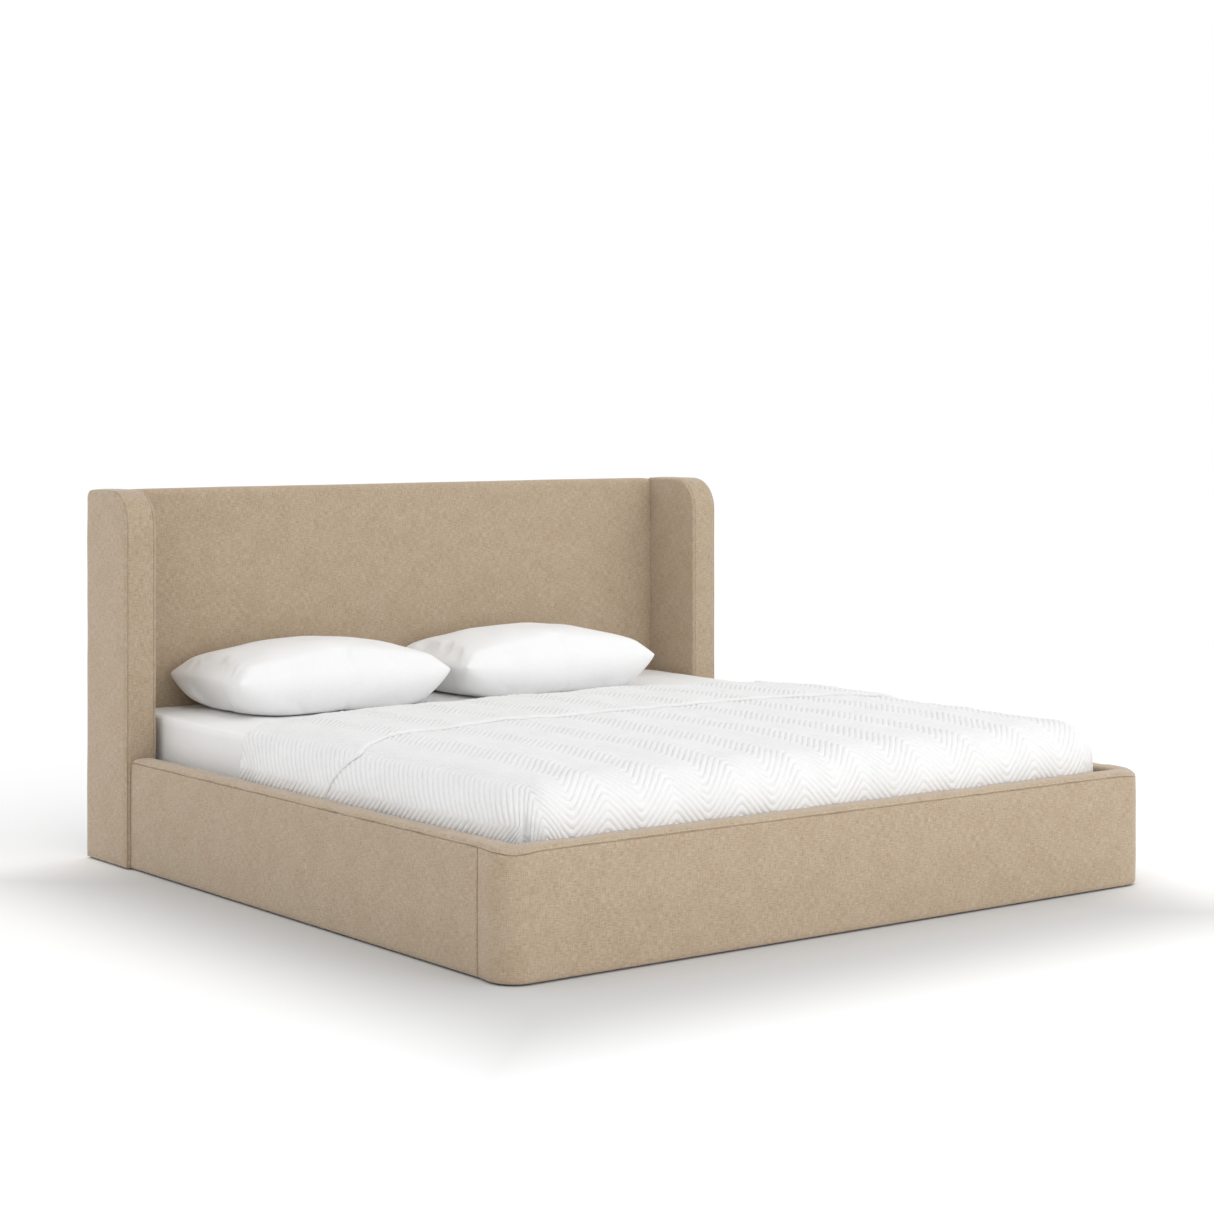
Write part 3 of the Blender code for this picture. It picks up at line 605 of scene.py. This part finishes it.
def lining():
    """Black dust cloth pulled over the back, its edges turned in and stapled."""
    x, z0, z1 = LINING_HIGH.x - 0.003, LINING_LOW.z, LINING_HIGH.z
    xs, zs = spaced(-x, x, 0.0164), spaced(z0, z1, 0.0160)
    grid = np.zeros((len(xs), len(zs), 3))
    grid[..., 0], grid[..., 2] = xs[:, None], zs[None, :]
    rim = np.minimum(np.minimum(x - np.abs(grid[..., 0]), grid[..., 2] - z0), z1 - grid[..., 2])
    pull = np.exp(-rim / 0.05)
    wrinkle = 0.0009 * ripple(grid * np.array([1, 1, 0.35]), 0.11, 31) * (1 - np.exp(-rim / 0.02))
    grid[..., 1] = LINING_HIGH.y - 0.0012 + wrinkle * (0.5 + pull)
    uv = grid[..., [0, 2]]
    obj = thicken(skin("dust_cloth", grid, uv, DUST_CLOTH, facing=(0, 1, 0)), 0.0005)
    belong(obj, "frame", "lining", "headboard_lining")
    inset, y = 0.009, LINING_HIGH.y - 0.0006
    line = [(-x + inset, y, z0 + inset), (x - inset, y, z0 + inset), (x - inset, y, z1 - inset),
            (-x + inset, y, z1 - inset), (-x + inset, y, z0 + inset)]
    rods("dust_cloth_staples", [line[k:k + 2] for k in range(4)], 0.0100, 0.00055, 0.042, STAPLE_WIRE, "frame",
         "bracket_steel", wander=0.12)


# ---- cloth laid over the mattress ---------------------------------------------------------------------

class Block:
    """Rounded block that cloth is laid over: half width, foot and head ends, top, plan corner and edge radii."""

    def __init__(self, half, foot, head, top, corner, edge, spread=None):
        self.half, self.foot, self.head, self.top = half, foot, head, top
        self.corner, self.edge, self.spread = corner, edge, spread

    def reach(self, drop):
        """Flat distance past the corner's centre at which the cloth has come down by drop."""
        return self.corner - self.edge + self.edge * math.pi / 2 + drop - self.edge

    def angle(self, u, v):
        """Way the cloth falls: 0 off the side, 90 degrees off the foot or head."""
        a = np.maximum(np.abs(u) - (self.half - self.corner), 0)
        b = np.maximum(np.maximum(self.foot + self.corner - v, v - (self.head - self.corner)), 0)
        return np.arctan2(b, a), np.maximum(a, b)

    def drop(self, s):
        t = s - (self.corner - self.edge)
        bend = self.edge * math.pi / 2
        turned = np.clip(t, 0, bend) / self.edge
        radial = np.where(t < 0, s, self.corner - self.edge + self.edge * np.sin(turned))
        return radial, np.where(t < 0, 0, self.edge * (1 - np.cos(turned)) + np.maximum(t - bend, 0))

    def lay(self, u, v):
        """Where the point of the flat cloth at (across, along) comes to lie."""
        turn, s = self.angle(u, v)
        radial, drop = self.drop(s)
        if self.spread:
            radial = radial + self.spread(drop, turn)
        x = np.sign(u) * (np.minimum(np.abs(u), self.half - self.corner) + radial * np.cos(turn))
        middle = np.clip(v, self.foot + self.corner, self.head - self.corner)
        y = middle + np.where(v < middle, -1.0, 1.0) * radial * np.sin(turn)
        return np.stack([x, y, self.top - drop], -1)

    def lift(self, u, v, height):
        """The laid point, raised square to the surface."""
        e = 2e-4
        n = np.cross(self.lay(u + e, v) - self.lay(u - e, v), self.lay(u, v + e) - self.lay(u, v - e))
        n /= np.maximum(np.linalg.norm(n, axis=-1, keepdims=True), 1e-12)
        return self.lay(u, v) + n * height[..., None]


def mattress():
    """Mattress in knitted ticking, soft at its top edges, with a taped edge round the bottom."""
    low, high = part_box("mattress")
    spare = 0.003                      # room for the sheet's own thickness
    half_x, half_y, middle = high.x - spare, (high.y - low.y) / 2 - spare, (high.y + low.y) / 2
    z0, z1, soft, firm = low.z, high.z - spare, 0.074, 0.012

    def loop(inset, z):
        r = max(0.066 - inset * 0.5, 0.004)
        x, y = max(half_x - inset, r), max(half_y - inset, r)
        quarter = [(x - r + r * math.cos(t), y - r + r * math.sin(t)) for t in np.radians(np.linspace(0, 90, 8))]
        edge = [(x, (y - r) * f) for f in np.linspace(0, 1, 24)[:-1]] + quarter + \
               [((x - r) * f, y) for f in np.linspace(1, 0, 24)[1:]]
        edge = np.array(edge)
        plan = np.concatenate([edge, edge[-2::-1] * (-1, 1), edge[1:] * (-1, -1), edge[-2::-1] * (1, -1)])
        return np.column_stack([plan[:, 0], plan[:, 1] + middle, np.full(len(plan), z)])
    turns = np.radians(np.linspace(0, 90, 6))
    rings = [(inset, z0) for inset in (half_x, 0.7, 0.4, 0.15, 0.04)]
    rings += [(firm - firm * math.sin(t), z0 + firm - firm * math.cos(t)) for t in turns]
    rings += [(-0.0015 * math.sin(math.pi * f), z0 + firm + (z1 - soft - z0 - firm) * f)
              for f in np.linspace(0.1, 0.9, 9)]
    rings += [(soft - soft * math.cos(t), z1 - soft + soft * math.sin(t)) for t in turns]
    rings += [(inset, z1) for inset in (0.10, 0.2, 0.4, 0.7, half_x)]
    grid = np.stack([loop(*ring) for ring in rings])
    flat = np.stack(np.broadcast_arrays(run(grid[12])[None, :], run(grid[:, 0])[:, None]), -1)
    obj = skin("mattress_in_ticking", grid, flat, TICKING)
    belong(obj, "mattress_set", "ticking", "mattress")
    ring = loop(0.002, z0 + 0.0055)
    out = loop(0.001, 0)[:, :2] - loop(0.003, 0)[:, :2]
    out = np.column_stack([out / np.linalg.norm(out, axis=1, keepdims=True), np.zeros(len(out))])
    tube = np.stack([ring + 0.0045 * (out * math.cos(t) + np.array((0, 0, 1)) * math.sin(t))
                     for t in np.radians(np.linspace(0, 360, 9))])
    belong(skin("mattress_tape_edge", tube, np.zeros(tube.shape[:2] + (2,)), TICKING), "mattress_set", "ticking")


def fitted_sheet():
    """Percale sheet pulled smooth over the mattress; its edge stops just above the mattress's underside."""
    block = Block(SHEET_HIGH.x, SHEET_LOW.y, SHEET_HIGH.y, SHEET_HIGH.z, 0.062, 0.008)
    down = block.reach(SHEET_HIGH.z - SHEET_LOW.z)
    us = spaced(-(block.half - block.corner + down), block.half - block.corner + down, 0.0165)
    vs = spaced(block.foot + block.corner - down, block.head - block.corner + down, 0.0165)
    u, v = np.meshgrid(us, vs, indexing="ij")
    turn, s = block.angle(u, v)
    flat = block.lay(u, v)
    # pulled sharp where it shows at the head, soft at the foot under the coverlet
    easy = Block(block.half - 0.001, block.foot + 0.001, block.head, block.top - 0.002, 0.090, 0.082)
    covered = (1 - step(1.33, 1.41, v - FOOT))[..., None]
    near = np.exp(-s / 0.10)
    height = -0.0012 + 0.0007 * ripple(flat, 0.14, 41) * near + 0.0010 * ripple(flat * (1, 0.4, 1), 0.10, 42) * near
    height = height * (1 - 0.7 * covered[..., 0])
    grid = block.lift(u, v, height) * (1 - covered) + easy.lift(u, v, height) * covered
    grid[..., 2] = np.maximum(grid[..., 2], SHEET_LOW.z + 0.0006)     # its edge stops clear of the slats
    obj = skin("percale_fitted_sheet", grid, np.stack([u, v], -1), PERCALE)
    belong(obj, "mattress_set", "sheet", "fitted_sheet")


# ---- coverlet ---------------------------------------------------------------------------------------

RIB_PITCH = 0.0225            # from rib to rib, along the bed
RIB_H = 0.0038
PUFF = 0.027                  # each rib swells and narrows along its length
ZIGZAG = 0.2055               # width of one full herringbone zigzag
ZIG_PEAK = -0.124
RIB_STEPS = (0.0, 0.11, 0.5, 0.89)   # rows of points in each rib, as shares of the pitch
FOLD_AT, FOLD_FALL = 1.605, 0.212    # the fold's distance from the foot, and how much lower it lies at the sides
HEM_AT, HEM_FALL = 0.995, 0.160


def spread(drop, turn):
    """How far the falling coverlet stands off: wide to the side rails, close to the foot section."""
    out = step(0.02, 0.125, drop)
    tuck = step(0.165, 0.25, drop)
    return (0.013 * out - 0.026 * tuck) * np.cos(turn) ** 2 + (0.003 * out - 0.003 * tuck) * np.sin(turn) ** 2


COVERLET = Block(0.9890, FOOT + 0.0665, FOOT + 9.0, 0.4480, 0.116, 0.102, spread)


def zigzag(u):
    """Herringbone: how far the ribs run towards the head at this place across the cloth."""
    sharp = 0.985
    wave = np.arcsin(sharp * np.cos(2 * np.pi * (u - ZIG_PEAK) / ZIGZAG)) / math.asin(sharp)
    return wave * ZIGZAG / 4


def rib(u, v):
    """Rib height share at a place on the flat cloth: narrow hollows between round ribs."""
    phase = (v - FOOT - zigzag(u)) / RIB_PITCH
    place = np.stack(np.broadcast_arrays(u, v, 0 * v), -1)
    uneven = 1 + 0.22 * ripple(place, 0.055, 53) + 0.12 * ripple(place, 0.022, 54)
    shift = 2.4 * np.floor(phase) + 1.3 * np.sin(1.7 * np.floor(phase))
    pinched = 0.84 + 0.16 * np.sin(2 * np.pi * u / PUFF + shift)
    return np.abs(np.sin(np.pi * phase)) ** 0.42 * np.clip(uneven, 0.45, 1.5) * pinched


def fold_line(u):
    """Where the coverlet is turned back, towards the head; it lies lower at the sides."""
    across = np.minimum(np.abs(u) / 0.95, 1.0)
    return FOOT + FOLD_AT - FOLD_FALL * across ** 3.4


def hem_line(u):
    """Where the turned-back hem lies."""
    across = np.minimum(np.abs(u) / 0.95, 1.0)
    side = np.clip(np.abs(u) - 0.95, 0, 0.20)
    return FOOT + HEM_AT - HEM_FALL * across ** 3.6 + 0.60 * side


def settle(u, v):
    """The layers thin out towards the fold, and there lie close round the mattress's edge."""
    _, s = COVERLET.angle(u, v)
    _, drop = COVERLET.drop(s)
    edge = np.exp(-((drop - 0.030) / 0.030) ** 2) * (s > 0)
    return (0.021 * edge - 0.0145) * (1 - step(0.0, 0.17, fold_line(u) - v))


def crease(u, v):
    """Tucked corner at the foot: a sharp fold down the middle of the corner."""
    turn, s = COVERLET.angle(u, v)
    _, drop = COVERLET.drop(s)
    return np.exp(-((turn - math.pi / 4) / 0.07) ** 2) * step(0.04, 0.10, drop)


def coverlet_rows(first, last):
    """Rib-following rows between two places along the cloth, close together in the hollows."""
    k0, k1 = int(math.floor(first / RIB_PITCH)), int(math.ceil(last / RIB_PITCH))
    return FOOT + RIB_PITCH * np.array([k + f for k in range(k0, k1) for f in RIB_STEPS])


def coverlet():
    reach = COVERLET.reach(COVERLET.top - COVERLET_LOW.z)
    half = COVERLET.half - COVERLET.corner + reach
    us = spaced(-half, half, 0.0073)
    foot_end = COVERLET.foot + COVERLET.corner - reach
    swing = ZIGZAG / 4
    u = us[:, None]
    zig = zigzag(u)

    def puffed(u, v):
        place = COVERLET.lay(u, v)
        along = v - FOOT
        crown = 0.011 * step(0.12, 0.44, along) * (1 - 0.8 * step(0.85, 1.45, along))
        crown = crown * (1 - step(0.75, 0.95, np.abs(u)))
        return crown + 0.0022 * ripple(place, 0.26, 51) + 0.0009 * ripple(place, 0.11, 52)
    # body of the coverlet: visible ribs up to the hem, then a plain layer hidden under the turned-back part
    hem, fold = hem_line(u), fold_line(u)
    rows = coverlet_rows(foot_end - FOOT - swing, hem.max() - FOOT + swing + 0.03)
    v = np.clip(rows[None, :] + zig, foot_end, hem + 0.03)
    height = RIB_H * rib(u, v) * (1 - 0.8 * crease(u, v)) - 0.007 * crease(u, v) + puffed(u, v)
    height -= 0.004 * step(0.0, 0.012, v - hem)
    under = hem + 0.03 + (fold - 0.012 - hem - 0.03) * np.linspace(0.05, 1, 22)[None, :]
    hidden = -0.004 + settle(u, under) * 0.9 + puffed(u, under) * 0.6
    v = np.concatenate([v, under], 1)
    height = np.concatenate([height, hidden], 1)
    wide = np.broadcast_to(u, v.shape)
    body = skin("coverlet_body", COVERLET.lift(wide, v, height), np.stack([wide, v], -1), MATELASSE, merge=1e-5)
    belong(body, "mattress_set", "coverlet", "coverlet")
    # turned-back part: rolled hem, ribs, then round the fold and back underneath
    rows = coverlet_rows(hem.min() - FOOT - swing, fold.max() - FOOT + swing)
    v = np.clip(rows[None, :] + zig, hem + 0.0035, fold - 0.004)

    def raised(u, v):
        _, s = COVERLET.angle(u, v)
        _, drop = COVERLET.drop(s)
        return 0.0085 - 0.0045 * step(0.0, 0.10, drop) + settle(u, v) + puffed(u, v)
    height = raised(u, v) + RIB_H * rib(u, v)
    # (place past the hem line, share of the raised height or, when negative, a depth, share of the rib)
    lip = [(0.0060, -0.0016, 0.0), (0.0018, -0.0004, 0.0), (-0.0004, 0.30, 0.2), (-0.0002, 0.62, 0.5),
           (0.0012, 0.90, 0.8)]
    lip_v = np.concatenate([hem + dv for dv, _, _ in lip], 1)
    lip_h = np.concatenate([np.full_like(hem, share) + puffed(u, hem) if share < 0 else
                            puffed(u, hem) + (raised(u, hem) - puffed(u, hem)) * share
                            + RIB_H * rib(u, hem + 0.0035) * r
                            for _, share, r in lip], 1)
    turns = np.radians((20, 45, 70, 90, 110, 135, 160))
    r = 0.0050
    fold_v = np.concatenate([fold - 0.004 + r * math.sin(t) for t in turns], 1)
    fold_h = np.concatenate([raised(u, fold) - r * (1 - math.cos(t)) + RIB_H * 0.6 * rib(u, fold) * max(0, math.cos(t))
                             for t in turns], 1)
    back_v = np.concatenate([fold - 0.010, fold - 0.05], 1)
    back_h = np.concatenate([raised(u, fold) - 2 * r, raised(u, fold) - 2 * r - 0.0005], 1)
    v = np.concatenate([lip_v, v, fold_v, back_v], 1)
    height = np.concatenate([lip_h, height, fold_h, back_h], 1)
    wide = np.broadcast_to(u, v.shape)
    cuff = skin("coverlet_cuff", COVERLET.lift(wide, v, height), np.stack([wide, v + 0.011], -1), MATELASSE, merge=1e-5)
    belong(cuff, "mattress_set", "coverlet")


# ---- pillows ----------------------------------------------------------------------------------------

def pillow(label, seed):
    """Pillow in a percale case: plumped as cloth with a little fullness, then rested on the sheet."""
    low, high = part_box(f"pillow_{label}")
    half_x, half_y = (high.x - low.x) / 2 * 0.965, (high.y - low.y) / 2 * 0.94
    middle = np.array([(low.x + high.x) / 2, high.y - half_y, low.z])
    # points lie closer together towards the seam
    rows = [np.linspace(-1, 1, count) for count in (73, 49)]
    a, b = np.meshgrid(*(np.sin(t * math.pi / 2) * 0.35 + t * 0.65 for t in rows), indexing="ij")
    corner = np.abs(a * b) ** 5
    x = half_x * 0.985 * a * (1 - 0.050 * corner) * (1 - 0.012 * (1 - b * b))
    y = half_y * 0.975 * b * (1 - 0.085 * corner) * (1 - 0.015 * (1 - a * a))
    plump = np.maximum(1 - np.abs(a) ** 2.3, 0) ** 0.82 * np.maximum(1 - np.abs(b) ** 2.6, 0) ** 0.55
    blunt = np.sqrt(np.maximum((1 - a ** 12) * (1 - b ** 12), 0))
    seam = 0.070 + 0.030 * np.abs(a) ** 4 + 0.010 * np.abs(b) ** 6
    grid = np.concatenate([np.stack([x, y, seam + 0.100 * plump + 0.016 * blunt], -1),
                           np.stack([x, y, seam - 0.100 * plump - 0.012 * blunt], -1)[::-1]], 0)
    uv = np.concatenate([np.stack([x, y], -1), np.stack([x + 1, y], -1)[::-1]], 0)
    obj = skin(f"pillow_in_case_{label}", grid, uv, PILLOWCASE, merge=1e-4)
    co = np.zeros(len(obj.data.vertices) * 3)
    obj.data.vertices.foreach_get("co", co)
    co = co.reshape(-1, 3)
    cloth = obj.modifiers.new("plump", "CLOTH")
    cloth.settings.quality = 5
    cloth.settings.mass = 0.2
    cloth.settings.tension_stiffness = cloth.settings.compression_stiffness = 12
    cloth.settings.shear_stiffness = 4
    cloth.settings.bending_stiffness = 0.08
    cloth.settings.shrink_min = -0.035
    cloth.settings.use_pressure = True
    cloth.settings.uniform_pressure_force = 3.0
    cloth.settings.effector_weights.gravity = 0.0
    cloth.collision_settings.use_collision = False
    for number in range(1, 25):
        bpy.context.scene.frame_set(number)
    shape = bpy.data.meshes.new_from_object(obj.evaluated_get(bpy.context.evaluated_depsgraph_get()))
    bpy.context.scene.frame_set(1)
    obj.modifiers.remove(cloth)
    moved = np.zeros(co.size)
    shape.vertices.foreach_get("co", moved)
    bpy.data.meshes.remove(shape)
    move = moved.reshape(-1, 3) - co
    far = np.linalg.norm(move, axis=1, keepdims=True)
    co = co + move * np.minimum(1, 0.018 / np.maximum(far, 1e-9))
    co[:, :2] *= np.array([half_x, half_y]) / np.abs(co[:, :2]).max(0)
    co += 0.0016 * ripple(co, 0.11, seed)[:, None] * np.sign(co) * (0, 0, 1)
    # the underside flattens where it lies
    soft = 0.008
    co[:, 2] = soft * np.logaddexp(0, co[:, 2] / soft)
    co[:, 2] += 0.0004 - co[:, 2].min()
    co[:, 2] *= np.minimum(1, (high.z - low.z + 0.004) / co[:, 2].max())
    obj.data.vertices.foreach_set("co", (co + middle).ravel())
    obj.data.update()
    smooth = obj.modifiers.new("finer_cloth", "SUBSURF")
    smooth.levels = smooth.render_levels = 1
    belong(obj, f"{label}_pillow", "pillowcase", f"pillow_{label}")


# ---- build the visible pieces -------------------------------------------------------------------------

headboard()
lining()
for word, sign in (("left", -1), ("right", 1)):
    wing(word, sign)
    side_rail(word, sign)
foot_section()
mattress()
fitted_sheet()
coverlet()
pillow("left", 61)
pillow("right", 71)
# topstitch: real stitches are about 4 mm long and 0.3 mm thick; drawn 6.2 mm long and 1.4 mm thick, to show
for key, line in STITCH_LINES.items():
    rods(key.replace("upholstery", "topstitch"), [line], 0.0062, 0.0007, 0.0090, THREAD, "frame", "upholstery")


# ---- finishes of the frame's own solids -----------------------------------------------------------------

def paint(mat, *starts):
    """Gives this finish to the frame solids whose names start so."""
    for name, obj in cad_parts.items():
        if name.startswith(starts) and not obj.hide_render:
            obj.data.materials.clear()
            obj.data.materials.append(mat)


paint(PINE_X, "slat_", "foot_board", "head_cross_rail")
paint(PINE_Y, "side_rail_board_", "side_cleat_", "wing_cleat_", "centre_beam")
paint(PINE_Z, "centre_leg_", "foot_corner_block_")
paint(PLYWOOD[0], "wing_core_")
paint(PLYWOOD[1], "headboard_board")
paint(POWDER_COAT, "beam_hanger_", "foot_plate_", "wing_bracket_")
paint(ZINC, "levelling_foot_")
paint(NYLON, "foot_glide_", "wing_glide_")


# ---- floor, light and camera ----------------------------------------------------------------------------

def floor_paint():
    """Matt white studio floor, rolled paint. The grey tone round the bed is a drawn soft shadow, not wear."""
    mat, tree, shader = surface("matt_white_floor_paint", 0.85)
    pool = node(tree, "ShaderNodeMapping", {"Vector": node(tree, "ShaderNodeTexCoord").outputs["Object"],
                                            "Location": (0.20, 0.35, 0.0)}).outputs["Vector"]
    place = node(tree, "ShaderNodeSeparateXYZ", {0: pool}).outputs
    away = [node(tree, "ShaderNodeMath", {0: place[axis]}, operation="ABSOLUTE").outputs[0] for axis in "XY"]
    away = node(tree, "ShaderNodeMath", {0: away[0], 1: away[1]}, operation="MAXIMUM").outputs[0]
    tone = node(tree, "ShaderNodeMapRange", {"Value": away, "From Min": 0.90, "From Max": 1.55},
                interpolation_type="SMOOTHSTEP").outputs["Result"]
    roller = node(tree, "ShaderNodeTexNoise", {"Vector": node(tree, "ShaderNodeTexCoord").outputs["Object"],
                                               "Scale": 250.0, "Detail": 2.0}).outputs["Fac"]
    finish(tree, shader, blend(tree, tone, linear("#cdcdcd"), linear("#fdfdfd")), roller, 0.2, 0.0002)
    return mat


def studio():
    mesh = bpy.data.meshes.new("studio_floor")
    reach = 40.0
    corners = [(-reach, -reach, 0), (reach, -reach, 0), (reach, reach, 0), (-reach, reach, 0)]
    mesh.from_pydata(corners, [], [(0, 1, 2, 3)])
    floor = place_mesh("studio_floor", mesh)
    mesh.materials.append(floor_paint())
    world = bpy.data.worlds.new("studio")
    bpy.context.scene.world = world
    world.use_nodes = True
    world.node_tree.nodes["Background"].inputs["Color"].default_value = (1, 1, 1, 1)
    world.node_tree.nodes["Background"].inputs["Strength"].default_value = 1.0
    for label, kind, place, size, power, aim in (
            ("sky_box", "SUN", (-1.4, -1.6, 4.4), math.radians(40), 0.16, (0.0, 0.0, 0.4)),
            ("key", "AREA", (2.3, -0.6, 2.3), 1.6, 6.0, (-0.2, 0.4, 0.4)),
            ("fill", "AREA", (0.6, -4.8, 1.2), 2.2, 40.0, (0.0, -1.0, 0.2))):
        light = bpy.data.lights.new(label, kind)
        light.energy = power
        if kind == "SUN":
            light.angle = size
        else:
            light.shape, light.size = "DISK", size
        lamp = bpy.data.objects.new(label, light)
        lamp.location = place
        lamp.rotation_euler = (Vector(aim) - Vector(place)).to_track_quat("-Z", "Y").to_euler()
        lamp.visible_camera = False
        bpy.context.scene.collection.objects.link(lamp)
    eye = bpy.data.cameras.new("camera")
    eye.lens, eye.sensor_width, eye.shift_y = 76.82, 36.0, -0.16862
    eye.clip_end = 200
    camera = bpy.data.objects.new("camera", eye)
    camera.location = (-4.4258, -5.9019, 1.3325)
    camera.rotation_euler = (math.radians(90), 0, math.radians(-36.973))
    bpy.context.scene.collection.objects.link(camera)
    bpy.context.scene.camera = camera
    bpy.context.scene.view_settings.view_transform = "Standard"
    bpy.context.scene.view_settings.look = "None"


studio()
